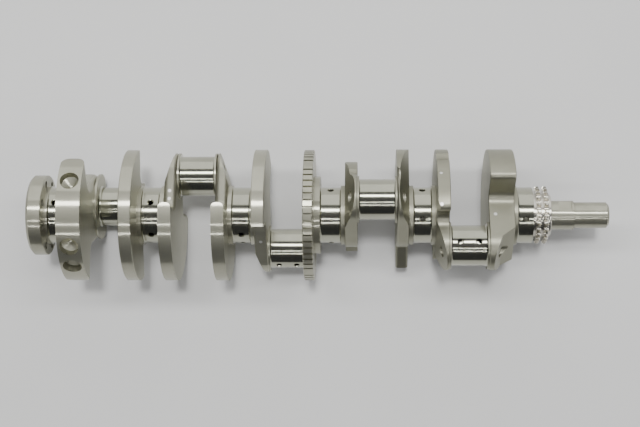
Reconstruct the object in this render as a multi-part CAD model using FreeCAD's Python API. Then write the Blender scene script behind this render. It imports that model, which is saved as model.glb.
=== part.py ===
import FreeCAD, Part
import math
import os
from collections import namedtuple

# Forged and machined crankshaft of a ten-cylinder vee engine: five crankpins, six main journals.
# X runs along the crank axis from the flywheel flange (X = 0 at its face) to the nose, Z is up.
# Every angle is turned about X, from +Z towards -Y, in degrees. All sizes are in millimetres.
# The shaft is one billet. It is cut at its shoulders into sections that meet face to face.

Vector = FreeCAD.Vector
ORIGIN = Vector(0, 0, 0)
AXIS = Vector(1, 0, 0)
UP = Vector(0, 0, 1)

# Journals and throws
BORE_PITCH = 122.9
THROW_RADIUS = 54.0
THROW_ANGLES = {1: 49.0, 2: -23.0, 3: 121.0, 4: 265.0, 5: 193.0}
MAIN_DIAMETER = 76.2
PIN_DIAMETER = 54.0
PIN_LENGTH = 48.2
JOURNAL_FILLET = 2.4
HUB_LENGTH = 5.5
NOSE_MAIN_LENGTH = 21.4
REAR_MAIN_LENGTH = 23.0
COLLAR_LENGTH = 2.4
COLLAR_EDGE = 2.2

# Webs
WEB_THICKNESS = 17.0
NOSE_WEB_THICKNESS = 34.3
REAR_WEB_THICKNESS = 31.8
COUNTERWEIGHT_RADIUS = 90.0
LIGHT_WEB_RADIUS = 73.0
ARM_HUB_MARGIN = 5.5
ARM_END_MARGIN = 6.0
SHOULDER_FILLET = 14.0
EDGE_BREAK = 0.8
BEVEL_START = 40.0
BEVEL_TIP = 3.0
HEAVY_BEVEL_TIP = 6.5
HEAVY_CUT_START = 50.0
HEAVY_CUT_SLOPE = 1.35
REAR_LOBE_MARGIN = 19.0
REAR_LOBE_STAND = 3.0
SMALL_BULL_NOSE = 4.0
BULL_NOSE = 7.0
HEAVY_BULL_NOSE = 12.0
CORNER = 8.0
SCALLOP_RADIUS = 14.0
SCALLOP_DEPTH = 4.5

# Trigger disc, the nose-side web of throw 3, with its milled slots
TRIGGER_RADIUS = 89.5
TRIGGER_WIDTH = 13.4
TRIGGER_HUB_RADIUS = 53.0
TRIGGER_HUB_LENGTH = 8.4
TRIGGER_POSITIONS = 60
TRIGGER_SLOT_WIDTH = 2.6
TRIGGER_SLOT_DEPTH = 4.0
TRIGGER_FIRST_SLOT = 5.0
TRIGGER_MISSING = (9, 51)

# Drillings
OIL_HOLE = 6.5
OIL_GALLERY = 5.5
OIL_MOUTH = 9.0
OIL_LAG = 40.0
PIN_OIL_LAG = 62.0
PIN_OIL_OFFSET = 12.3
PIN_OIL_DEPTH = 10.0
PIN_BORE = 16.0
PIN_BORE_OFFSET = 10.0
PIN_PLUG_LENGTH = 6.0
PIN_PLUG_SINK = 0.6
PIN_PLUG_HEX = 8.0
PIN_PLUG_HEX_DEPTH = 3.5
GALLERY_PLUG = 4.6
GALLERY_PLUG_LENGTH = 6.0
BALANCE_HOLE = 25.4
BALANCE_DEPTH = 12.0
BALANCE_ANGLES = (-31.0, 28.0, 50.0)
DRILL_POINT = 118.0
RIM_PLUG_PLACE = 0.7
CLEAR = 2.0

# Flywheel flange
FLANGE_DIAMETER = 110.0
FLANGE_THICKNESS = 20.7
FLANGE_CHAMFER = 3.5
NECK_LENGTH = 5.8
NECK_DIAMETER = 79.0
FLANGE_BOLT_CIRCLE = 90.0
FLANGE_BOLT_HOLE = 10.5
FLANGE_BOLTS = 8
FLANGE_DOWEL_HOLE = 8.0
FLANGE_DOWEL_DEPTH = 14.0
FLANGE_DOWEL_ANGLE = 0.0

# Open bore in the flange, for a pilot bearing
PILOT_BORE = 40.0
PILOT_DEPTH = 13.5
PILOT_RELIEF = 26.0
PILOT_RELIEF_DEPTH = 12.0

# Nose
SPROCKET_SEAT = 44.0
SPROCKET_LENGTH = 24.9
NOSE_DIAMETER = 39.4
NOSE_LENGTH = 31.7
DAMPER_SEAT = 35.2
DAMPER_SEAT_LENGTH = 47.7
NOSE_CHAMFER = 3.0
RELIEF_WIDTH = 1.6
RELIEF_DEPTH = 0.8
FLAT_LENGTH = 17.0
FLAT_FROM_STEP = 2.8
FLAT_ACROSS = 35.4
FLAT_ANGLE = -42.0
NOSE_BOLT_HOLE = 14.0
NOSE_BOLT_DEPTH = 50.0
NOSE_BOLT_SINK = 2.0
KEY_WIDTH = 6.0
KEY_LENGTH = 20.0
KEY_DEPTH = 3.5
KEY_STAND = 2.6
KEY_ANGLE = 180.0

# Timing sprocket for a double roller chain
CHAIN_PITCH = 9.525
CHAIN_ROW_PITCH = 10.24
ROLLER_DIAMETER = 6.35
SPROCKET_TEETH = 24
TOOTH_WIDTH = 5.3
TOOTH_CHAMFER = 1.2
SPROCKET_HUB = 58.0
SPROCKET_HUB_CHAMFER = 1.0
TOOTH_RISE = 0.45
ROLLER_SEAT = 0.51
TOOTH_GAP_HALF = 0.46

# Derived sizes
MAIN_RADIUS = MAIN_DIAMETER / 2
PIN_RADIUS = PIN_DIAMETER / 2
HUB_RADIUS = MAIN_RADIUS + JOURNAL_FILLET
COLLAR_RADIUS = PIN_RADIUS + JOURNAL_FILLET + COLLAR_EDGE
ARM_HUB_RADIUS = MAIN_RADIUS + ARM_HUB_MARGIN
ARM_END_RADIUS = PIN_RADIUS + ARM_END_MARGIN
ARM_TIP = THROW_RADIUS + ARM_END_RADIUS
REAR_LOBE_RADIUS = PIN_RADIUS + REAR_LOBE_MARGIN
REAR_MAIN_START = FLANGE_THICKNESS + NECK_LENGTH
REAR_WEB_START = REAR_MAIN_START + REAR_MAIN_LENGTH
REAR_PIN_X = REAR_WEB_START + REAR_WEB_THICKNESS + PIN_LENGTH / 2
PIN_X = {throw: REAR_PIN_X + BORE_PITCH * (5 - throw) for throw in THROW_ANGLES}

# One web: the throw it belongs to, its side of the pin (1 towards the nose, -1 towards the
# flange), its thickness, its collar, its counterweight's radius and the angles from the pin at
# which that starts and ends, the tip left by the bevel, its shoulders' radius
# across the thickness (0 if square), the radius of their corners in outline (0 if sharp), the
# radius of its lobe round the pin, and how far that lobe stands out from the pin-side face.
Web = namedtuple("Web", "throw side thickness collar radius start end tip rounded corner lobe stand",
                 defaults=(ARM_END_RADIUS, 0.0))
FULL = COUNTERWEIGHT_RADIUS
WEBS = {
    1: Web(1, 1, NOSE_WEB_THICKNESS, COLLAR_LENGTH, FULL, 84, 276, HEAVY_BEVEL_TIP, 0, CORNER),
    2: Web(1, -1, WEB_THICKNESS, COLLAR_LENGTH, FULL, 84, 307, BEVEL_TIP, 0, CORNER),
    3: Web(2, 1, WEB_THICKNESS, COLLAR_LENGTH, FULL, 147, 339, BEVEL_TIP, SMALL_BULL_NOSE, 0),
    4: Web(2, -1, WEB_THICKNESS, COLLAR_LENGTH, LIGHT_WEB_RADIUS, 159, 325, BEVEL_TIP, 0, 0),
    6: Web(3, -1, WEB_THICKNESS, COLLAR_LENGTH, FULL, 111, 249, BEVEL_TIP, 0, 0),
    7: Web(4, 1, WEB_THICKNESS, COLLAR_LENGTH, FULL, 84, 276, BEVEL_TIP, BULL_NOSE, 0),
    8: Web(4, -1, WEB_THICKNESS, COLLAR_LENGTH, FULL, 84, 276, BEVEL_TIP, BULL_NOSE, 0),
    9: Web(5, 1, WEB_THICKNESS, COLLAR_LENGTH, FULL, 84, 276, BEVEL_TIP, 0, 0),
    10: Web(5, -1, REAR_WEB_THICKNESS, 0.0, FULL, 109, 251, HEAVY_BEVEL_TIP, HEAVY_BULL_NOSE, 0,
            REAR_LOBE_RADIUS, REAR_LOBE_STAND),
}
TRIGGER_WEB = 5

# Gallery plugs: the web, the side of its arm, and the plug's height from the axis along the arm
ARM_PLUGS = {1: [(1, 31.0)], 6: [(1, 18.0)], 8: [(-1, 30.0), (-1, 19.0)]}
# Plugs in a counterweight's rim: the web and the angles from its pin
RIM_PLUGS = {2: (272.3, 301.5)}
# Scallops milled across a counterweight's rim: the web and the angle from its pin
SCALLOPS = {2: 250.0}


def save(name, shape):
    """Write one node, and ask that its solids are whole before and after it is written."""
    path = "parts/" + name + ".step"
    shape.exportStep(path)
    for version in (shape, Part.read(path)):
        if not version.isValid() or not version.Solids:
            raise ValueError(name + " is not a valid solid")


def direction(angle):
    """Unit vector square to the axis, at an angle from +Z towards -Y."""
    turn = math.radians(angle)
    return Vector(0, -math.sin(turn), math.cos(turn))


def disc(x_start, length, radius):
    """Cylinder on the crank axis."""
    return Part.makeCylinder(radius, length, Vector(x_start, 0, 0), AXIS)


def turned(outline):
    """Solid of revolution about the crank axis from (x, radius) points and arc triples."""
    edges = []
    for piece in outline:
        points = [Vector(x, 0, radius) for x, radius in piece]
        if len(points) == 2:
            edges.append(Part.LineSegment(*points).toShape())
        else:
            edges.append(Part.Arc(*points).toShape())
    face = Part.Face(Part.Wire(edges))
    return face.revolve(ORIGIN, AXIS, 360)


def polyline(points):
    """Closed chain of straight two-point pieces for turned()."""
    return [[start, end] for start, end in zip(points, points[1:] + points[:1])]


def drill(start, heading, diameter, depth):
    """Drill body with a conical point, from a start on the surface along a heading."""
    radius = diameter / 2
    point = radius / math.tan(math.radians(DRILL_POINT / 2))
    body = Part.makeCylinder(radius, depth, start, heading)
    tip = Part.makeCone(radius, 0, point, start + heading * depth, heading)
    return body.fuse(tip)


def journal(x_start, x_end, radius, filleted_start=True, filleted_end=True):
    """Ground journal between two shoulders, with a concave fillet at each filleted end."""
    rise = JOURNAL_FILLET
    bend = rise * (1 - math.sqrt(0.5))
    left = x_start + (rise if filleted_start else 0)
    right = x_end - (rise if filleted_end else 0)
    outline = [[(x_start, 0), (x_start, radius + (rise if filleted_start else 0))]]
    if filleted_start:
        middle = (x_start + bend, radius + bend)
        outline.append([(x_start, radius + rise), middle, (left, radius)])
    outline.append([(left, radius), (right, radius)])
    if filleted_end:
        middle = (x_end - bend, radius + bend)
        outline.append([(right, radius), middle, (x_end, radius + rise)])
    outline.append([(x_end, radius + (rise if filleted_end else 0)), (x_end, 0)])
    outline.append([(x_end, 0), (x_start, 0)])
    return turned(outline)


# ---- Stations along the axis -----------------------------------------------------------------

def web_faces(number):
    """X of a web's pin-side face and of its main-side face."""
    if number == TRIGGER_WEB:
        inner = PIN_X[3] + PIN_LENGTH / 2
        return inner, inner + TRIGGER_WIDTH
    web = WEBS[number]
    inner = PIN_X[web.throw] + web.side * (PIN_LENGTH / 2 + web.collar)
    return inner, inner + web.side * web.thickness


def main_faces(number):
    """X of the rear and the nose end of a main journal, between its hubs."""
    if number == 6:
        return REAR_MAIN_START, REAR_WEB_START - HUB_LENGTH
    rear_web = 2 * number - 1
    if rear_web == TRIGGER_WEB:
        rear = web_faces(rear_web)[1] + TRIGGER_HUB_LENGTH
    else:
        rear = web_faces(rear_web)[1] + HUB_LENGTH
    if number == 1:
        return rear, rear + NOSE_MAIN_LENGTH
    return rear, web_faces(2 * number - 2)[1] - HUB_LENGTH


def main_centre(number):
    """X of the middle of a main journal."""
    return sum(main_faces(number)) / 2


def pin_centre(throw, x_offset=0.0):
    """Point on a crankpin's centreline."""
    return Vector(PIN_X[throw] + x_offset, 0, 0) + direction(THROW_ANGLES[throw]) * THROW_RADIUS


def pin_ends(throw):
    """Distances from the middle of a throw to its crankpin's rear and nose ends."""
    rear_web = WEBS[2 * throw]
    return rear_web.stand - PIN_LENGTH / 2, PIN_LENGTH / 2


def throws_beside(main):
    """Throws that a main journal feeds with oil."""
    return [throw for throw in (main - 1, main) if throw in THROW_ANGLES]


# ---- Oil drillings ---------------------------------------------------------------------------

def aimed(tool, place, heading):
    """Put a tool that was turned about X at a place, pointing along a heading."""
    tool.Placement = FreeCAD.Placement(place, FreeCAD.Rotation(AXIS, heading))
    return tool


def main_drilling(main, throw):
    """Hole drilled right through a main journal, countersunk at both ends, ahead of a throw."""
    sink = (OIL_MOUTH - OIL_HOLE) / 2
    hole, wide = OIL_HOLE / 2, OIL_MOUTH / 2 + sink
    inner, outer = MAIN_RADIUS - sink, MAIN_RADIUS + sink
    tool = turned(polyline([
        (-outer, 0), (-outer, wide), (-inner, hole), (inner, hole), (outer, wide), (outer, 0)]))
    out = direction(THROW_ANGLES[throw] - OIL_LAG)
    return aimed(tool, Vector(main_centre(main), 0, 0), out)


def pin_drilling(throw, side):
    """Countersunk oil outlet on a crankpin, under one of its two connecting rods."""
    sink = (OIL_MOUTH - OIL_HOLE) / 2
    hole, wide = OIL_HOLE / 2, OIL_MOUTH / 2 + sink
    tool = turned(polyline([
        (-sink, 0), (-sink, wide), (sink, hole), (PIN_OIL_DEPTH, hole), (PIN_OIL_DEPTH, 0)]))
    out = direction(THROW_ANGLES[throw] - PIN_OIL_LAG)
    surface = pin_centre(throw, side * PIN_OIL_OFFSET) + out * PIN_RADIUS
    return aimed(tool, surface, out * -1)


def gallery(throw, side):
    """Slanted drilling from a crankpin's outlet to the middle of the main journal beside it."""
    out = direction(THROW_ANGLES[throw] - PIN_OIL_LAG)
    start_radius = PIN_RADIUS - PIN_OIL_DEPTH + OIL_HOLE / 2
    start = pin_centre(throw, side * PIN_OIL_OFFSET) + out * start_radius
    main = throw if side > 0 else throw + 1
    end = Vector(main_centre(main), 0, 0)
    run = end - start
    return Part.makeCylinder(OIL_GALLERY / 2, run.Length, start, run)


def pin_bore(throw):
    """Lightening bore along a crankpin, set outwards from its centreline, through both webs."""
    reach = PIN_LENGTH / 2 + NOSE_WEB_THICKNESS + COLLAR_LENGTH
    start = pin_centre(throw, -reach) + direction(THROW_ANGLES[throw]) * PIN_BORE_OFFSET
    return Part.makeCylinder(PIN_BORE / 2, 2 * reach, start, AXIS)


# ---- Webs ------------------------------------------------------------------------------------
# A web is drawn flat, with its pin along +Y, and stood up square to the crank axis afterwards.

def flat_point(radius, angle):
    """Point of the flat drawing at an angle from the pin's direction."""
    turn = math.radians(angle)
    return Vector(-radius * math.sin(turn), radius * math.cos(turn), 0)


def arm_lean(lobe):
    """Angle by which the arm's flats lean in towards the pin."""
    return math.asin((ARM_HUB_RADIUS - lobe) / THROW_RADIUS)


def arm_face(lobe):
    """Outline of the arm: a hub round the axis and a lobe round the pin, with flats."""
    lean = arm_lean(lobe)
    cosine, sine = math.cos(lean), math.sin(lean)
    hub = [Vector(way * ARM_HUB_RADIUS * cosine, ARM_HUB_RADIUS * sine, 0) for way in (1, -1)]
    end_height = THROW_RADIUS + lobe * sine
    end = [Vector(way * lobe * cosine, end_height, 0) for way in (1, -1)]
    edges = [
        Part.LineSegment(hub[0], end[0]).toShape(),
        Part.Arc(end[0], Vector(0, THROW_RADIUS + lobe, 0), end[1]).toShape(),
        Part.LineSegment(end[1], hub[1]).toShape(),
        Part.Arc(hub[1], Vector(0, -ARM_HUB_RADIUS, 0), hub[0]).toShape(),
    ]
    return Part.Face(Part.Wire(edges))


def sector_face(radius, start, end):
    """Outline of a counterweight: a sector of a disc, from inside the hub to its rim."""
    inner = ARM_HUB_RADIUS / 2
    middle = (start + end) / 2
    edges = [
        Part.Arc(*[flat_point(radius, angle) for angle in (start, middle, end)]).toShape(),
        Part.LineSegment(flat_point(radius, end), flat_point(inner, end)).toShape(),
        Part.Arc(flat_point(inner, end), flat_point(inner, middle), flat_point(inner, start)).toShape(),
        Part.LineSegment(flat_point(inner, start), flat_point(radius, start)).toShape(),
    ]
    return Part.Face(Part.Wire(edges))


def flat_outline(web):
    """Arm and counterweight as one outline, with filleted inner corners."""
    joined = arm_face(web.lobe).fuse(sector_face(web.radius, web.start, web.end)).removeSplitter()
    outline = Part.Face(joined.Faces[0].OuterWire)
    grown = outline.makeOffset2D(SHOULDER_FILLET)
    if not web.corner:
        return grown.makeOffset2D(-SHOULDER_FILLET)
    shrunk = grown.makeOffset2D(-SHOULDER_FILLET - web.corner)
    return shrunk.makeOffset2D(web.corner)


def side_cutter(points):
    """Prism across the web from (height along the arm, depth from the pin-side face) points."""
    corners = [Vector(-COUNTERWEIGHT_RADIUS, height, depth) for height, depth in points]
    face = Part.Face(Part.makePolygon(corners + corners[:1]))
    return face.extrude(Vector(2 * COUNTERWEIGHT_RADIUS, 0, 0))


def bevel_cutter(web):
    """Slope that thins the arm on its main side, from the hub out to the tip."""
    slope = (WEB_THICKNESS - BEVEL_TIP) / (ARM_TIP - BEVEL_START)
    beyond = ARM_TIP + ARM_END_RADIUS
    high = 2 * web.thickness
    low = web.tip - slope * (beyond - ARM_TIP)
    start_height = ARM_TIP - (high - web.tip) / slope
    return side_cutter([(start_height, high), (beyond, low), (beyond, high)])


def heavy_cutter(web):
    """Steep cut that thins a heavy web's arm, running on into the bevel out to its tip."""
    high = 2 * web.thickness
    start = HEAVY_CUT_START - (high - web.thickness) / HEAVY_CUT_SLOPE
    end = HEAVY_CUT_START + (web.thickness - WEB_THICKNESS) / HEAVY_CUT_SLOPE
    slope = (WEB_THICKNESS - web.tip) / (ARM_TIP - end)
    beyond = ARM_TIP + ARM_END_MARGIN
    low = web.tip - slope * (beyond - ARM_TIP)
    return side_cutter([(start, high), (end, WEB_THICKNESS), (beyond, low), (beyond, high)])


def shoulder_edges(solid, web):
    """Edges of the counterweight's two shoulders, on both faces of the web."""
    found = []
    for edge in solid.Edges:
        low, high = edge.Vertexes[0].Point, edge.Vertexes[-1].Point
        if abs(low.z - high.z) > 0.1 or edge.Curve.TypeId != "Part::GeomLine":
            continue
        outer = max(low, high, key=lambda point: math.hypot(point.x, point.y))
        if math.hypot(outer.x, outer.y) > web.radius - 0.5:
            found.append(edge)
    return found


def rim_edges(solid):
    """Edges round both faces of the web, to be broken."""
    return [edge for edge in solid.Edges if abs(edge.BoundBox.ZMin - edge.BoundBox.ZMax) < 0.01]


def flat_web(web):
    """A web lying flat: its pin-side face at Z = 0 and its main side up."""
    body = flat_outline(web).extrude(Vector(0, 0, web.thickness))
    if web.rounded:
        body = body.makeFillet(web.rounded, shoulder_edges(body, web))
    else:
        body = body.makeChamfer(EDGE_BREAK, rim_edges(body))
    heavy = web.thickness > WEB_THICKNESS
    cutter = heavy_cutter(web) if heavy else bevel_cutter(web)
    body = body.cut(cutter)
    body = body.fuse(Part.makeCylinder(HUB_RADIUS, HUB_LENGTH, Vector(0, 0, web.thickness)))
    pin = Vector(0, THROW_RADIUS, 0)
    if web.collar:
        body = body.fuse(Part.makeCylinder(COLLAR_RADIUS, web.collar, pin, UP * -1))
    if web.stand:
        body = body.fuse(Part.makeCylinder(web.lobe, web.stand, pin, UP * -1))
    if web.lobe > ARM_END_RADIUS:
        height = web.stand + web.thickness + HUB_LENGTH
        body = body.common(Part.makeCylinder(web.radius, height, UP * -web.stand))
    return body


def stand_up(flat, web):
    """Stand a flat shape square to the crank axis, beside its pin and at its throw's angle."""
    shape = flat.copy()
    shape.rotate(ORIGIN, Vector(1, 1, 1), 120)
    if web.side < 0:
        shape = shape.mirror(ORIGIN, AXIS)
    inner = PIN_X[web.throw] + web.side * (PIN_LENGTH / 2 + web.collar)
    shape.rotate(ORIGIN, AXIS, THROW_ANGLES[web.throw])
    shape.translate(Vector(inner, 0, 0))
    return shape


def arm_plug(web, way, height, longer=0.0):
    """Plug square to one flat of the arm, halfway through the web, or its hole if longer."""
    lean = arm_lean(web.lobe)
    out = Vector(way * math.cos(lean), math.sin(lean), 0)
    along = Vector(-way * math.sin(lean), math.cos(lean), 0)
    travel = (height - ARM_HUB_RADIUS * math.sin(lean)) / math.cos(lean)
    surface = out * ARM_HUB_RADIUS + along * travel + Vector(0, 0, WEB_THICKNESS / 2)
    start = surface - out * GALLERY_PLUG_LENGTH
    return Part.makeCylinder(GALLERY_PLUG / 2, GALLERY_PLUG_LENGTH + longer, start, out)


def rim_plug(web, angle, longer=0.0):
    """Plug in a counterweight's rim, or its hole if longer."""
    out = flat_point(1, angle)
    height = UP * (web.thickness * RIM_PLUG_PLACE)
    start = out * (web.radius - GALLERY_PLUG_LENGTH - EDGE_BREAK) + height
    return Part.makeCylinder(GALLERY_PLUG / 2, GALLERY_PLUG_LENGTH + longer, start, out)


def gallery_plugs(number, longer=0.0):
    """Standing plugs of one web, or their holes if longer."""
    web = WEBS[number]
    flat = [arm_plug(web, way, height, longer) for way, height in ARM_PLUGS.get(number, [])]
    flat += [rim_plug(web, angle, longer) for angle in RIM_PLUGS.get(number, ())]
    return [stand_up(plug, web) for plug in flat]


def balance_holes():
    """Radial drillings in the rear web's rim that trim the crank's balance."""
    inner, outer = web_faces(10)
    holes = []
    for angle in BALANCE_ANGLES:
        out = direction(angle)
        start = Vector((inner + outer) / 2, 0, 0) + out * (COUNTERWEIGHT_RADIUS + BALANCE_HOLE)
        holes.append(drill(start, out * -1, BALANCE_HOLE, BALANCE_HOLE + BALANCE_DEPTH))
    return holes


def make_web(number):
    """One finished web with its drillings."""
    web = WEBS[number]
    body = stand_up(flat_web(web), web)
    cuts = [pin_bore(web.throw), gallery(web.throw, web.side)]
    if number in SCALLOPS:
        centre = flat_point(web.radius - SCALLOP_DEPTH + SCALLOP_RADIUS, SCALLOPS[number])
        scallop = Part.makeCylinder(SCALLOP_RADIUS, web.thickness + 2 * CLEAR, centre - UP * CLEAR)
        cuts.append(stand_up(scallop, web))
    cuts += gallery_plugs(number, longer=CLEAR + EDGE_BREAK)
    if number == 10:
        cuts += balance_holes()
    return body.cut(cuts)


def make_trigger_web():
    """Full disc beside throw 3, with the slots that the crank position sensor reads."""
    inner, outer = web_faces(TRIGGER_WEB)
    edge_radius = TRIGGER_RADIUS - EDGE_BREAK
    body = turned(polyline([
        (inner, 0), (inner, edge_radius), (inner + EDGE_BREAK, TRIGGER_RADIUS),
        (outer - EDGE_BREAK, TRIGGER_RADIUS), (outer, edge_radius), (outer, TRIGGER_HUB_RADIUS),
        (outer + TRIGGER_HUB_LENGTH, TRIGGER_HUB_RADIUS), (outer + TRIGGER_HUB_LENGTH, 0)]))
    slots = []
    for position in range(TRIGGER_POSITIONS):
        if position in TRIGGER_MISSING:
            continue
        slot = Part.makeBox(TRIGGER_WIDTH + 2 * CLEAR, TRIGGER_SLOT_WIDTH, 2 * TRIGGER_SLOT_DEPTH)
        slot_floor = TRIGGER_RADIUS - TRIGGER_SLOT_DEPTH
        slot.translate(Vector(inner - CLEAR, -TRIGGER_SLOT_WIDTH / 2, slot_floor))
        slot.rotate(ORIGIN, AXIS, TRIGGER_FIRST_SLOT + position * 360 / TRIGGER_POSITIONS)
        slots.append(slot)
    return body.cut(slots + [pin_bore(3), gallery(3, 1)])


# ---- Journals --------------------------------------------------------------------------------

def make_main(number):
    """One main journal with the drillings that feed the throws beside it."""
    rear, nose = main_faces(number)
    body = journal(rear, nose, MAIN_RADIUS, filleted_end=number != 1)
    cuts = [main_drilling(number, throw) for throw in throws_beside(number)]
    cuts += [gallery(throw, 1 if throw == number else -1) for throw in throws_beside(number)]
    return body.cut(cuts)


def make_pin(throw):
    """One crankpin, wide enough for two connecting rods side by side."""
    rear, nose = pin_ends(throw)
    body = journal(rear, nose, PIN_RADIUS)
    body.translate(pin_centre(throw))
    cuts = [pin_bore(throw)]
    for side in (1, -1):
        cuts += [pin_drilling(throw, side), gallery(throw, side)]
    return body.cut(cuts)


def make_pin_plug(throw, side):
    """Hollow-head plug that closes one end of a crankpin's bore."""
    out = direction(THROW_ANGLES[throw])
    centre = pin_centre(throw) + out * PIN_BORE_OFFSET
    start = centre + AXIS * (side * (PIN_LENGTH / 2 + PIN_PLUG_SINK))
    plug = Part.makeCylinder(PIN_BORE / 2, PIN_PLUG_LENGTH, start, AXIS * side)
    face = start + AXIS * (side * PIN_PLUG_LENGTH)
    corners = []
    for corner in range(7):
        turn = THROW_ANGLES[throw] + corner * 60
        corners.append(face + direction(turn) * (PIN_PLUG_HEX / math.sqrt(3)))
    socket = Part.Face(Part.makePolygon(corners)).extrude(AXIS * (-side * PIN_PLUG_HEX_DEPTH))
    return plug.cut(socket)


# ---- Flange ----------------------------------------------------------------------------------

def make_flange():
    """Flywheel flange with its neck, bolt holes, dowel hole and open pilot bore."""
    radius = FLANGE_DIAMETER / 2
    neck_end = FLANGE_THICKNESS + NECK_LENGTH
    body = turned(polyline([
        (0, 0), (0, radius - FLANGE_CHAMFER), (FLANGE_CHAMFER, radius),
        (FLANGE_THICKNESS - EDGE_BREAK, radius), (FLANGE_THICKNESS, radius - EDGE_BREAK),
        (FLANGE_THICKNESS, NECK_DIAMETER / 2), (neck_end, NECK_DIAMETER / 2), (neck_end, 0)]))
    cuts = [
        disc(-CLEAR, CLEAR + PILOT_DEPTH, PILOT_BORE / 2),
        disc(0, PILOT_DEPTH + PILOT_RELIEF_DEPTH, PILOT_RELIEF / 2),
    ]
    for bolt in range(FLANGE_BOLTS):
        out = direction(FLANGE_DOWEL_ANGLE + (bolt + 0.5) * 360 / FLANGE_BOLTS)
        start = out * (FLANGE_BOLT_CIRCLE / 2) - AXIS * CLEAR
        length = FLANGE_THICKNESS + 2 * CLEAR
        cuts.append(Part.makeCylinder(FLANGE_BOLT_HOLE / 2, length, start, AXIS))
    dowel = direction(FLANGE_DOWEL_ANGLE) * (FLANGE_BOLT_CIRCLE / 2) - AXIS * CLEAR
    cuts.append(drill(dowel, AXIS, FLANGE_DOWEL_HOLE, FLANGE_DOWEL_DEPTH + CLEAR))
    return body.cut(cuts)


# ---- Nose, key and sprocket ------------------------------------------------------------------

def sprocket_start():
    """X of the shoulder that the sprocket stands against."""
    return main_faces(1)[1]


def key_box(height_in, height_out, length, extra=0.0):
    """Box along the axis, from below to above the sprocket seat's surface, at the key's angle."""
    start = sprocket_start() + (SPROCKET_LENGTH - length) / 2
    box = Part.makeBox(length, KEY_WIDTH + extra, height_in + height_out)
    box.translate(Vector(start, -(KEY_WIDTH + extra) / 2, SPROCKET_SEAT / 2 - height_in))
    box.rotate(ORIGIN, AXIS, KEY_ANGLE)
    return box


def make_nose():
    """Nose: sprocket seat, oil pump drive with two flats, and the damper's seat."""
    start = sprocket_start()
    shoulder = start + SPROCKET_LENGTH
    step = shoulder + NOSE_LENGTH
    end = step + DAMPER_SEAT_LENGTH
    seat, nose, damper = SPROCKET_SEAT / 2, NOSE_DIAMETER / 2, DAMPER_SEAT / 2
    body = turned(polyline([
        (start, 0), (start, seat), (shoulder, seat), (shoulder, nose), (step, nose),
        (step, damper - RELIEF_DEPTH), (step + RELIEF_WIDTH, damper - RELIEF_DEPTH),
        (step + RELIEF_WIDTH, damper), (end - NOSE_CHAMFER, damper),
        (end, damper - NOSE_CHAMFER), (end, 0)]))
    flat_start = step - FLAT_FROM_STEP - FLAT_LENGTH
    cuts = [key_box(KEY_DEPTH, KEY_DEPTH, KEY_LENGTH)]
    for angle in (FLAT_ANGLE, FLAT_ANGLE + 180):
        flat = Part.makeBox(FLAT_LENGTH, NOSE_DIAMETER, NOSE_DIAMETER)
        flat.translate(Vector(flat_start, -nose, FLAT_ACROSS / 2))
        flat.rotate(ORIGIN, AXIS, angle)
        cuts.append(flat)
    cuts.append(drill(Vector(end, 0, 0), AXIS * -1, NOSE_BOLT_HOLE, NOSE_BOLT_DEPTH))
    sink = Vector(end - NOSE_BOLT_SINK, 0, 0)
    hole = NOSE_BOLT_HOLE / 2
    cuts.append(Part.makeCone(hole, hole + NOSE_BOLT_SINK, NOSE_BOLT_SINK, sink, AXIS))
    return body.cut(cuts)


def tooth_blank(centre_x):
    """Disc for one row of teeth, with chamfered tips."""
    pitch_radius = CHAIN_PITCH / (2 * math.sin(math.pi / SPROCKET_TEETH))
    tip = pitch_radius + ROLLER_DIAMETER * TOOTH_RISE
    half = TOOTH_WIDTH / 2
    return turned(polyline([
        (centre_x - half, 0), (centre_x - half, tip - 2 * TOOTH_CHAMFER),
        (centre_x - half + TOOTH_CHAMFER, tip), (centre_x + half - TOOTH_CHAMFER, tip),
        (centre_x + half, tip - 2 * TOOTH_CHAMFER), (centre_x + half, 0)]))


def tooth_gap(centre_x, angle):
    """Space that one roller seats in, opening outwards between two teeth."""
    pitch_radius = CHAIN_PITCH / (2 * math.sin(math.pi / SPROCKET_TEETH))
    seat = ROLLER_DIAMETER * ROLLER_SEAT
    mouth_half = CHAIN_PITCH * TOOTH_GAP_HALF
    start = centre_x - TOOTH_WIDTH / 2 - CLEAR
    width = TOOTH_WIDTH + 2 * CLEAR
    roller = Part.makeCylinder(seat, width, Vector(start, 0, pitch_radius), AXIS)
    top = pitch_radius + ROLLER_DIAMETER
    corners = [Vector(start, -seat, pitch_radius), Vector(start, -mouth_half, top),
               Vector(start, mouth_half, top), Vector(start, seat, pitch_radius)]
    funnel = Part.Face(Part.makePolygon(corners + corners[:1])).extrude(AXIS * width)
    gap = roller.fuse(funnel)
    gap.rotate(ORIGIN, AXIS, angle)
    return gap


def make_sprocket():
    """Double timing sprocket, pressed on its seat and held from turning by the key."""
    start = sprocket_start()
    middle = start + SPROCKET_LENGTH / 2
    rows = [middle - CHAIN_ROW_PITCH / 2, middle + CHAIN_ROW_PITCH / 2]
    hub, break_ = SPROCKET_HUB / 2, SPROCKET_HUB_CHAMFER
    end = start + SPROCKET_LENGTH
    body = turned(polyline([
        (start, 0), (start, hub - break_), (start + break_, hub), (end - break_, hub),
        (end, hub - break_), (end, 0)]))
    body = body.multiFuse([tooth_blank(row) for row in rows])
    gaps = []
    for row in rows:
        for tooth in range(SPROCKET_TEETH):
            gaps.append(tooth_gap(row, tooth * 360 / SPROCKET_TEETH))
    bore = disc(start - CLEAR, SPROCKET_LENGTH + 2 * CLEAR, SPROCKET_SEAT / 2)
    keyway = key_box(EDGE_BREAK, KEY_STAND, SPROCKET_LENGTH + 2 * CLEAR)
    return body.cut(gaps).cut([bore, keyway])


def make_key():
    """Parallel key, half in the nose and half in the sprocket."""
    return key_box(KEY_DEPTH, KEY_STAND, KEY_LENGTH)


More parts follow.
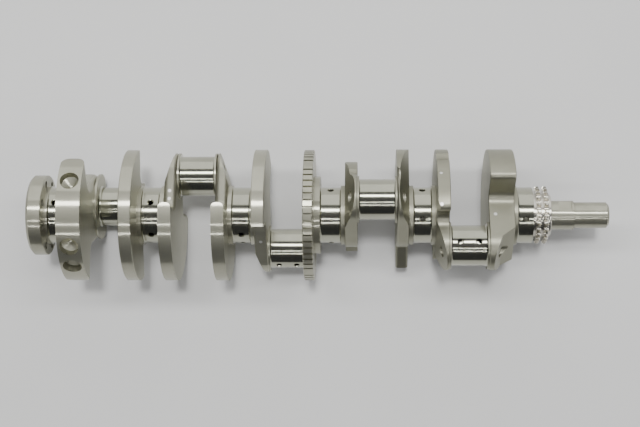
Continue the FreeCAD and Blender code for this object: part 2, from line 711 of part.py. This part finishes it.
def build():
    """Write every node."""
    os.makedirs("parts", exist_ok=True)
    save("rear_flange", make_flange())
    for number in range(1, 7):
        save("main_journal_%d" % number, make_main(number))
    for throw in THROW_ANGLES:
        save("crankpin_%d" % throw, make_pin(throw))
        plugs = [make_pin_plug(throw, side) for side in (1, -1)]
        save("pin_bore_plugs_%d" % throw, Part.makeCompound(plugs))
    for number in WEBS:
        save("web_%d" % number, make_web(number))
        plugs = gallery_plugs(number)
        if plugs:
            save("gallery_plugs_web_%d" % number, Part.makeCompound(plugs))
    save("trigger_disc_web_%d" % TRIGGER_WEB, make_trigger_web())
    save("nose", make_nose())
    save("timing_sprocket", make_sprocket())
    save("sprocket_key", make_key())


build()
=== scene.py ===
import math

import bpy
from bpy.props import FloatProperty, FloatVectorProperty, PointerProperty, StringProperty
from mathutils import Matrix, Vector


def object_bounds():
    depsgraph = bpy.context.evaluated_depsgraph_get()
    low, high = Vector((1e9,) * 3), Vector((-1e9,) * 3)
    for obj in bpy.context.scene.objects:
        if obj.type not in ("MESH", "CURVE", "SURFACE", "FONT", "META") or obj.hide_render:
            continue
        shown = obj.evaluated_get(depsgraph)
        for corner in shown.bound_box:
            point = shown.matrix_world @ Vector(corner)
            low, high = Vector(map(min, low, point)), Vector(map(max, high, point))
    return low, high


bl_info = {
    "name": "Ten-cylinder crankshaft finishes",
    "version": (1, 0, 0),
    "blender": (4, 5, 0),
    "location": "3D View > Sidebar > Crankshaft",
    "description": "Gives a packed crankshaft its ground, milled and turned steel finishes",
    "category": "Object",
}

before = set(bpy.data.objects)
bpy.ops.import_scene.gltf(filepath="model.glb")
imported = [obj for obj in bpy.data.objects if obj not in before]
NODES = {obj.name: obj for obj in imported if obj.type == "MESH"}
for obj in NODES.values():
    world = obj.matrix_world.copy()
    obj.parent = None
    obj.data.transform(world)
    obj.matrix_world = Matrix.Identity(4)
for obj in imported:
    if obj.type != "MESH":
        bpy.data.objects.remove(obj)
CAD_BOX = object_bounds()

MM = 0.001
HAZE_ROUGHNESS = 0.52

# Sizes of the finishes' patterns, in millimetres
GRINDING_PITCH = 0.6
MILLING_PITCH = 1.0
FEED_PITCH = 0.9
FACING_PITCH = 0.8
GRIT = 1.6
TOOTH_GRIT = 1.2
DING = 0.9
JOURNAL_PATCH = 30
WEB_PATCH = 45
TURNED_PATCH = 25
TOOTH_PATCH = 6
PAPER_PATCH = 300

# Lights: angle from straight up towards +Y in degrees, then distance, length and width in metres
MAIN_STRIP = (20, 2.4, 3.4, 0.30)
NEAR_STRIP = (-16, 2.4, 3.4, 0.035)
FAR_STRIP = (-32, 2.4, 3.4, 0.035)
SIDE_PANEL = (67, 2.6, 3.6, 2.4)
SUN_LEAN = math.radians(-12)
SUN_SPREAD = math.radians(7)
SUN_HEIGHT = 3
FLOOR_SIZE = 12
SENSOR_WIDTH = 36
SURROUND_COLOUR = "#C9CBD2"
MAINS = ["main_journal_%d" % number for number in range(1, 7)]
PINS = ["crankpin_%d" % number for number in range(1, 6)]
SATIN_WEBS = ["web_%d" % number for number in (1, 2, 3, 4)]
TURNED_WEBS = ["web_%d" % number for number in (6, 7, 8, 9, 10)]
GALLERY_PLUGS = sorted(name for name in NODES if name.startswith("gallery_plugs"))
BORE_PLUGS = sorted(name for name in NODES if name.startswith("pin_bore_plugs"))


def linear(hex_colour):
    """Linear RGBA of an sRGB hex colour."""
    channels = [int(hex_colour[index:index + 2], 16) / 255 for index in (1, 3, 5)]
    channels = [c / 12.92 if c <= 0.04045 else ((c + 0.055) / 1.055) ** 2.4 for c in channels]
    return (*channels, 1.0)


def add(tree, kind, settings=None, inputs=None, links=None):
    """Add a node to a tree with its settings, its sockets' values and its incoming links."""
    made = tree.nodes.new(kind)
    for name, value in (settings or {}).items():
        setattr(made, name, value)
    for name, value in (inputs or {}).items():
        made.inputs[name].default_value = value
    for name, socket in (links or {}).items():
        tree.links.new(socket, made.inputs[name])
    return made


def new_finish(name):
    """Empty node material and its tree, with an output and the object's own coordinates."""
    finish = bpy.data.materials.new(name)
    finish.use_nodes = True
    tree = finish.node_tree
    tree.nodes.clear()
    return finish, tree, add(tree, "ShaderNodeTexCoord").outputs["Object"]


def lines_along_axis(tree, place, pitch, waver):
    """Tool lines that run round the crank axis: fine along X, long round it."""
    fine = 1 / (pitch * MM)
    mapping = add(tree, "ShaderNodeMapping", inputs={"Scale": (fine, waver, waver)},
                  links={"Vector": place})
    return add(tree, "ShaderNodeTexNoise", inputs={"Scale": 1.0, "Detail": 3.0, "Roughness": 0.6},
               links={"Vector": mapping.outputs["Vector"]}).outputs["Fac"]


def rings_round_axis(tree, place, pitch):
    """Concentric facing rings centred on the crank axis."""
    return add(tree, "ShaderNodeTexWave",
               {"wave_type": "RINGS", "rings_direction": "X", "wave_profile": "SIN"},
               {"Scale": 0.314 / (pitch * MM), "Distortion": 0.6, "Detail": 2.0, "Detail Scale": 2.0},
               {"Vector": place}).outputs["Fac"]


def mottling(tree, place, size):
    """Soft uneven patches of the given size."""
    return add(tree, "ShaderNodeTexNoise", inputs={"Scale": 1 / (size * MM), "Detail": 4.0},
               links={"Vector": place}).outputs["Fac"]


def spread(tree, factor, low, high):
    """Remap a pattern to run from low to high."""
    return add(tree, "ShaderNodeMapRange",
               inputs={"From Min": 0.25, "From Max": 0.75, "To Min": low, "To Max": high},
               links={"Value": factor}).outputs["Result"]


def blend_colour(tree, factor, dark, light):
    """Mix two colours by a pattern."""
    mix = add(tree, "ShaderNodeMix", {"data_type": "RGBA"})
    mix.inputs[6].default_value = linear(dark)
    mix.inputs[7].default_value = linear(light)
    tree.links.new(factor, mix.inputs[0])
    return mix.outputs[2]


def metal(tree, colour, normal, roughness):
    """Bare metal shader with its own roughness, a socket or a constant."""
    shader = add(tree, "ShaderNodeBsdfPrincipled", inputs={"Metallic": 1.0},
                 links={"Base Color": colour, "Normal": normal})
    if isinstance(roughness, float):
        shader.inputs["Roughness"].default_value = roughness
    else:
        tree.links.new(roughness, shader.inputs["Roughness"])
    return shader.outputs["BSDF"]


def close_finish(tree, colour, roughness, height, depth, haze=0.0):
    """Metal over the patterns, with its bump depth in millimetres and its share of soft haze."""
    bump = add(tree, "ShaderNodeBump", inputs={"Strength": 1.0, "Distance": depth * MM},
               links={"Height": height})
    normal = bump.outputs["Normal"]
    surface = metal(tree, colour, normal, roughness)
    if haze:
        soft = metal(tree, colour, normal, HAZE_ROUGHNESS)
        mixed = add(tree, "ShaderNodeMixShader", inputs={0: haze}, links={1: surface, 2: soft})
        surface = mixed.outputs[0]
    add(tree, "ShaderNodeOutputMaterial", links={"Surface": surface})


def ground_journal_steel(look):
    # Cylindrically ground and polished steel: near-mirror, with lines round the shaft. Real grinding
    # lines are about 0.02 mm apart; they are drawn at 0.6 mm so that they show.
    finish, tree, place = new_finish("ground_journal_steel")
    lines = lines_along_axis(tree, place, GRINDING_PITCH, 1.5)
    patches = mottling(tree, place, JOURNAL_PATCH)
    close_finish(tree, blend_colour(tree, patches, look.ground_dark, look.ground_light),
                 spread(tree, lines, look.ground_roughness - 0.04, look.ground_roughness + 0.07),
                 lines, 0.0006)
    return finish


def milled_web_steel(look):
    # Milled and stress-relieved steel: satin grey, with cutter marks about 1 mm apart round the rim.
    finish, tree, place = new_finish("milled_web_steel")
    lines = lines_along_axis(tree, place, MILLING_PITCH, 9.0)
    grit = mottling(tree, place, GRIT)
    patches = mottling(tree, place, WEB_PATCH)
    height = add(tree, "ShaderNodeMath", {"operation": "ADD"}, links={0: lines, 1: grit}).outputs[0]
    close_finish(tree, blend_colour(tree, patches, look.milled_dark, look.milled_light),
                 spread(tree, grit, look.milled_roughness - 0.05, look.milled_roughness + 0.09),
                 height, 0.012, look.milled_haze)
    return finish


def rim_share(tree):
    """1 on surfaces that run along the crank axis, such as rims, and 0 on faces square to it."""
    normal = add(tree, "ShaderNodeNewGeometry").outputs["Normal"]
    along = add(tree, "ShaderNodeSeparateXYZ", links={"Vector": normal}).outputs["X"]
    size = add(tree, "ShaderNodeMath", {"operation": "ABSOLUTE"}, links={0: along}).outputs[0]
    return add(tree, "ShaderNodeMapRange",
               inputs={"From Min": 0.15, "From Max": 0.6, "To Min": 1.0, "To Max": 0.0},
               links={"Value": size}).outputs["Result"]


def turned_rim_steel(look):
    # Webs whose rims were turned after milling: fine feed marks, drawn at 0.9 mm so that they show.
    # The rims reflect light as narrow bands, and the milled faces stay satin.
    finish, tree, place = new_finish("turned_rim_steel")
    lines = lines_along_axis(tree, place, FEED_PITCH, 1.2)
    grit = mottling(tree, place, GRIT)
    satin = spread(tree, grit, look.milled_roughness - 0.04, look.milled_roughness + 0.08)
    bright = spread(tree, lines, look.rim_roughness - 0.02, look.rim_roughness + 0.03)
    mixed = add(tree, "ShaderNodeMix", {"data_type": "FLOAT"})
    for index, socket in ((0, rim_share(tree)), (2, satin), (3, bright)):
        tree.links.new(socket, mixed.inputs[index])
    patches = mottling(tree, place, WEB_PATCH)
    close_finish(tree, blend_colour(tree, patches, look.rim_dark, look.turned_light),
                 mixed.outputs[0], lines, 0.0002, look.rim_haze)
    return finish


def turned_steel(look):
    # Lathe-turned steel: facing rings 0.8 mm apart on its ends and feed lines round its rim.
    finish, tree, place = new_finish("turned_steel")
    rings = rings_round_axis(tree, place, FACING_PITCH)
    lines = lines_along_axis(tree, place, FACING_PITCH, 1.2)
    patches = mottling(tree, place, TURNED_PATCH)
    height = add(tree, "ShaderNodeMath", {"operation": "ADD"}, links={0: lines, 1: rings}).outputs[0]
    close_finish(tree, blend_colour(tree, patches, look.turned_dark, look.turned_light),
                 spread(tree, lines, look.rim_roughness - 0.01, look.rim_roughness + 0.06),
                 height, 0.0008, look.rim_haze)
    return finish


def sprocket_steel_painted_highlight(look):
    # Hobbed steel, lightly mottled, with fine grit; its pale tones are a painted highlight, lightened
    # to stand in for the bright highlights on the tooth tips.
    finish, tree, place = new_finish("sprocket_steel_painted_highlight")
    grit = mottling(tree, place, TOOTH_GRIT)
    patches = mottling(tree, place, TOOTH_PATCH)
    close_finish(tree, blend_colour(tree, patches, look.sprocket_dark, look.sprocket_light),
                 spread(tree, grit, 0.18, 0.3), grit, 0.003)
    return finish


def plug_steel_painted_highlight(look):
    # Plug steel, smoother than the shaft and with small dings; its whiter tone is a painted
    # highlight, standing in for the light that domed plug ends would catch.
    finish, tree, place = new_finish("plug_steel_painted_highlight")
    dings = mottling(tree, place, DING)
    close_finish(tree, blend_colour(tree, dings, "#C9C8C4", "#F0EFEC"),
                 spread(tree, dings, 0.3, 0.42), dings, 0.03)
    return finish


def paper_floor(look):
    # Matt studio paper: a plain pale sheet with a faint unevenness.
    finish, tree, place = new_finish("matt_studio_paper")
    patches = mottling(tree, place, PAPER_PATCH)
    colour = blend_colour(tree, patches, look.floor_dark, look.floor_light)
    shader = add(tree, "ShaderNodeBsdfPrincipled", inputs={"Roughness": 0.75},
                 links={"Base Color": colour})
    add(tree, "ShaderNodeOutputMaterial", links={"Surface": shader.outputs["BSDF"]})
    return finish


FINISHES = {}


def dress(names, maker, look):
    """Give CAD nodes one finish, made once."""
    if maker not in FINISHES:
        FINISHES[maker] = maker(look)
    for name in names:
        piece = NODES[name]
        if not piece.material_slots:
            piece.data.materials.append(None)
        for slot in piece.material_slots:
            slot.material = FINISHES[maker]


def tone(name, description, default):
    """Colour setting, as an sRGB hex value."""
    return StringProperty(name=name, description=description, default=default)


def share(name, description, default):
    """Setting that runs from 0 to 1."""
    return FloatProperty(name=name, description=description, default=default,
                         min=0.0, max=1.0, subtype="FACTOR")


def strength(name, description, default):
    """Setting for a light's power or strength."""
    return FloatProperty(name=name, description=description, default=default, min=0.0)


class CRANK_PG_look(bpy.types.PropertyGroup):
    """Colours and roughness of the shaft's finishes."""
    ground_dark: tone("Ground dark", "Darker tone of ground journals", "#9E9E8F")
    ground_light: tone("Ground light", "Lighter tone of ground journals", "#B6B6A6")
    ground_roughness: share("Ground roughness", "Roughness of ground journals", 0.14)
    milled_dark: tone("Milled dark", "Darker tone of the webs", "#8B8A7B")
    milled_light: tone("Milled light", "Lighter tone of the webs", "#AAA998")
    milled_roughness: share("Milled roughness", "Roughness of the webs", 0.34)
    milled_haze: share("Milled haze", "Share of light that milled webs scatter softly", 0.5)
    rim_dark: tone("Rim dark", "Darker tone of turned rims", "#A3A292")
    rim_roughness: share("Rim roughness", "Roughness of turned rims", 0.11)
    rim_haze: share("Rim haze", "Share of light that turned rims scatter softly", 0.55)
    turned_dark: tone("Turned dark", "Darker tone of turned faces", "#9A9989")
    turned_light: tone("Turned light", "Lighter tone of turned faces", "#BEBDAD")
    # The sprocket's pale tones are a painted highlight for the tooth tips.
    sprocket_dark: tone("Sprocket dark", "Darker tone of the sprocket", "#B4B0A4")
    sprocket_light: tone("Sprocket light", "Lighter tone of the sprocket", "#DEDBD0")
    floor_dark: tone("Floor dark", "Darker tone of the floor", "#BDBDBC")
    floor_light: tone("Floor light", "Lighter tone of the floor", "#C5C5C4")


class CRANK_PG_studio(bpy.types.PropertyGroup):
    """Camera place and light strengths."""
    camera_place: FloatVectorProperty(
        name="Camera place", description="Where the camera stands",
        default=(0.46064, 0.0022, 1.873), size=3, subtype="TRANSLATION", unit="LENGTH")
    camera_tilt: FloatProperty(
        name="Camera tilt", description="Lean of the view towards the flange",
        default=0.0345, subtype="ANGLE", unit="ROTATION")
    camera_lens: FloatProperty(
        name="Lens", description="Focal length on a 36 mm sensor", default=76.63, min=1.0)
    main_strip: strength("Main strip", "Power of the broad overhead strip, in watts", 60.0)
    thin_strip: strength("Thin strips", "Power of each thin strip, in watts", 10.0)
    side_panel: strength("Side panel", "Power of the large side panel, in watts", 42.0)
    shadow_sun: strength("Shadow sun", "Strength of the sun that casts the shadows", 2.2)
    ambient: strength("Ambient", "Strength of the even light from all round", 0.10)
    backdrop: strength("Backdrop", "Brightness of the surroundings behind the floor", 0.9)


class CRANK_OT_main_journals(bpy.types.Operator):
    """Finish the six main journals as ground steel"""
    bl_idname = "crank.main_journals"
    bl_label = "Main journals"

    def execute(self, context):
        dress(MAINS, ground_journal_steel, context.scene.crank_look)
        return {"FINISHED"}


class CRANK_OT_crankpins(bpy.types.Operator):
    """Finish the five crankpins as ground steel"""
    bl_idname = "crank.crankpins"
    bl_label = "Crankpins"

    def execute(self, context):
        dress(PINS, ground_journal_steel, context.scene.crank_look)
        return {"FINISHED"}


class CRANK_OT_webs(bpy.types.Operator):
    """Finish the webs and counterweights as milled steel, with turned rims on the flange-side ones"""
    bl_idname = "crank.webs"
    bl_label = "Webs"

    def execute(self, context):
        dress(SATIN_WEBS, milled_web_steel, context.scene.crank_look)
        dress(TURNED_WEBS, turned_rim_steel, context.scene.crank_look)
        return {"FINISHED"}


class CRANK_OT_trigger_disc(bpy.types.Operator):
    """Finish the slotted trigger disc as turned steel"""
    bl_idname = "crank.trigger_disc"
    bl_label = "Trigger disc"

    def execute(self, context):
        dress(["trigger_disc_web_5"], turned_steel, context.scene.crank_look)
        return {"FINISHED"}


class CRANK_OT_flange(bpy.types.Operator):
    """Finish the flywheel flange as turned steel"""
    bl_idname = "crank.flange"
    bl_label = "Flywheel flange"

    def execute(self, context):
        dress(["rear_flange"], turned_steel, context.scene.crank_look)
        return {"FINISHED"}


class CRANK_OT_nose(bpy.types.Operator):
    """Finish the nose as turned steel"""
    bl_idname = "crank.nose"
    bl_label = "Nose"

    def execute(self, context):
        dress(["nose"], turned_steel, context.scene.crank_look)
        return {"FINISHED"}


class CRANK_OT_sprocket(bpy.types.Operator):
    """Finish the timing sprocket and its key"""
    bl_idname = "crank.sprocket"
    bl_label = "Timing sprocket"

    def execute(self, context):
        dress(["timing_sprocket"], sprocket_steel_painted_highlight, context.scene.crank_look)
        dress(["sprocket_key"], turned_steel, context.scene.crank_look)
        return {"FINISHED"}


class CRANK_OT_plugs(bpy.types.Operator):
    """Finish the crankpin bores' plugs and the oil galleries' plugs"""
    bl_idname = "crank.plugs"
    bl_label = "Plugs"

    def execute(self, context):
        # The plugs' whiter tone is a painted highlight.
        dress(GALLERY_PLUGS + BORE_PLUGS, plug_steel_painted_highlight, context.scene.crank_look)
        return {"FINISHED"}


def strip_light(name, layout, power, centre):
    """Long area light beside the shaft's centre, laid out by angle, distance, length and width."""
    angle, distance, length, width = layout
    lean = math.radians(angle)
    place = centre + Vector((0, math.sin(lean), math.cos(lean))) * distance
    bpy.ops.object.light_add(type="AREA", location=place)
    lamp = bpy.context.object
    lamp.name = name
    lamp.data.shape = "RECTANGLE"
    lamp.data.size = length
    lamp.data.size_y = width
    lamp.data.energy = power
    lamp.rotation_euler = (-lean, 0, 0)


def shadow_sun(strength):
    """Sun that lights the floor and casts the shadows, but isn't reflected by the metal."""
    bpy.ops.object.light_add(type="SUN", location=(0, 0, SUN_HEIGHT), rotation=(SUN_LEAN, 0, 0))
    lamp = bpy.context.object
    lamp.name = "shadow_sun"
    lamp.data.energy = strength
    lamp.data.angle = SUN_SPREAD
    lamp.visible_glossy = False


def surround(scene, studio):
    """Pale surroundings: dim where they light the metal, and brighter where they are seen."""
    scene.world = bpy.data.worlds.new("studio")
    scene.world.use_nodes = True
    tree = scene.world.node_tree
    tree.nodes.clear()
    colour = linear(SURROUND_COLOUR)
    dim, seen = [add(tree, "ShaderNodeBackground", inputs={"Color": colour, "Strength": strength})
                 for strength in (studio.ambient, studio.backdrop)]
    ray = add(tree, "ShaderNodeLightPath")
    mixed = add(tree, "ShaderNodeMixShader", links={0: ray.outputs["Is Camera Ray"],
                                                    1: dim.outputs[0], 2: seen.outputs[0]})
    add(tree, "ShaderNodeOutputWorld", links={"Surface": mixed.outputs[0]})


class CRANK_OT_stage(bpy.types.Operator):
    """Lay the floor and set up the lights and the camera"""
    bl_idname = "crank.stage"
    bl_label = "Stage"

    def execute(self, context):
        studio = context.scene.crank_studio
        low, high = [Vector(corner) for corner in CAD_BOX]
        centre = Vector(((low.x + high.x) / 2, 0, 0))
        bpy.ops.mesh.primitive_plane_add(size=FLOOR_SIZE, location=(centre.x, 0, low.z))
        floor = context.object
        floor.name = "studio_floor"
        floor.data.materials.append(paper_floor(context.scene.crank_look))
        strip_light("main_strip", MAIN_STRIP, studio.main_strip, centre)
        strip_light("thin_strip_near", NEAR_STRIP, studio.thin_strip, centre)
        strip_light("thin_strip_far", FAR_STRIP, studio.thin_strip, centre)
        strip_light("side_panel", SIDE_PANEL, studio.side_panel, centre)
        shadow_sun(studio.shadow_sun)
        surround(context.scene, studio)
        bpy.ops.object.camera_add(location=studio.camera_place, rotation=(0, studio.camera_tilt, 0))
        camera = context.object
        camera.name = "camera"
        camera.data.lens = studio.camera_lens
        camera.data.sensor_width = SENSOR_WIDTH
        context.scene.camera = camera
        return {"FINISHED"}


class CRANK_PT_panel(bpy.types.Panel):
    """Sidebar list of the crankshaft's steps"""
    bl_label = "Crankshaft"
    bl_idname = "CRANK_PT_panel"
    bl_space_type = "VIEW_3D"
    bl_region_type = "UI"
    bl_category = "Crankshaft"

    def draw(self, context):
        for group in (context.scene.crank_look, context.scene.crank_studio):
            for name in group.bl_rna.properties.keys():
                if name not in ("rna_type", "name"):
                    self.layout.prop(group, name)
        for step in STEPS:
            self.layout.operator(step.bl_idname)


STEPS = (CRANK_OT_main_journals, CRANK_OT_crankpins, CRANK_OT_webs, CRANK_OT_trigger_disc,
         CRANK_OT_flange, CRANK_OT_nose, CRANK_OT_sprocket, CRANK_OT_plugs, CRANK_OT_stage)
CLASSES = (CRANK_PG_look, CRANK_PG_studio) + STEPS + (CRANK_PT_panel,)


def register():
    for made in CLASSES:
        bpy.utils.register_class(made)
    bpy.types.Scene.crank_look = PointerProperty(type=CRANK_PG_look)
    bpy.types.Scene.crank_studio = PointerProperty(type=CRANK_PG_studio)


def unregister():
    del bpy.types.Scene.crank_studio
    del bpy.types.Scene.crank_look
    for made in reversed(CLASSES):
        bpy.utils.unregister_class(made)


def main():
    register()
    bpy.ops.object.select_all(action="DESELECT")
    for step in STEPS:
        group, name = step.bl_idname.split(".")
        getattr(getattr(bpy.ops, group), name)()


if __name__ == "__main__":
    main()
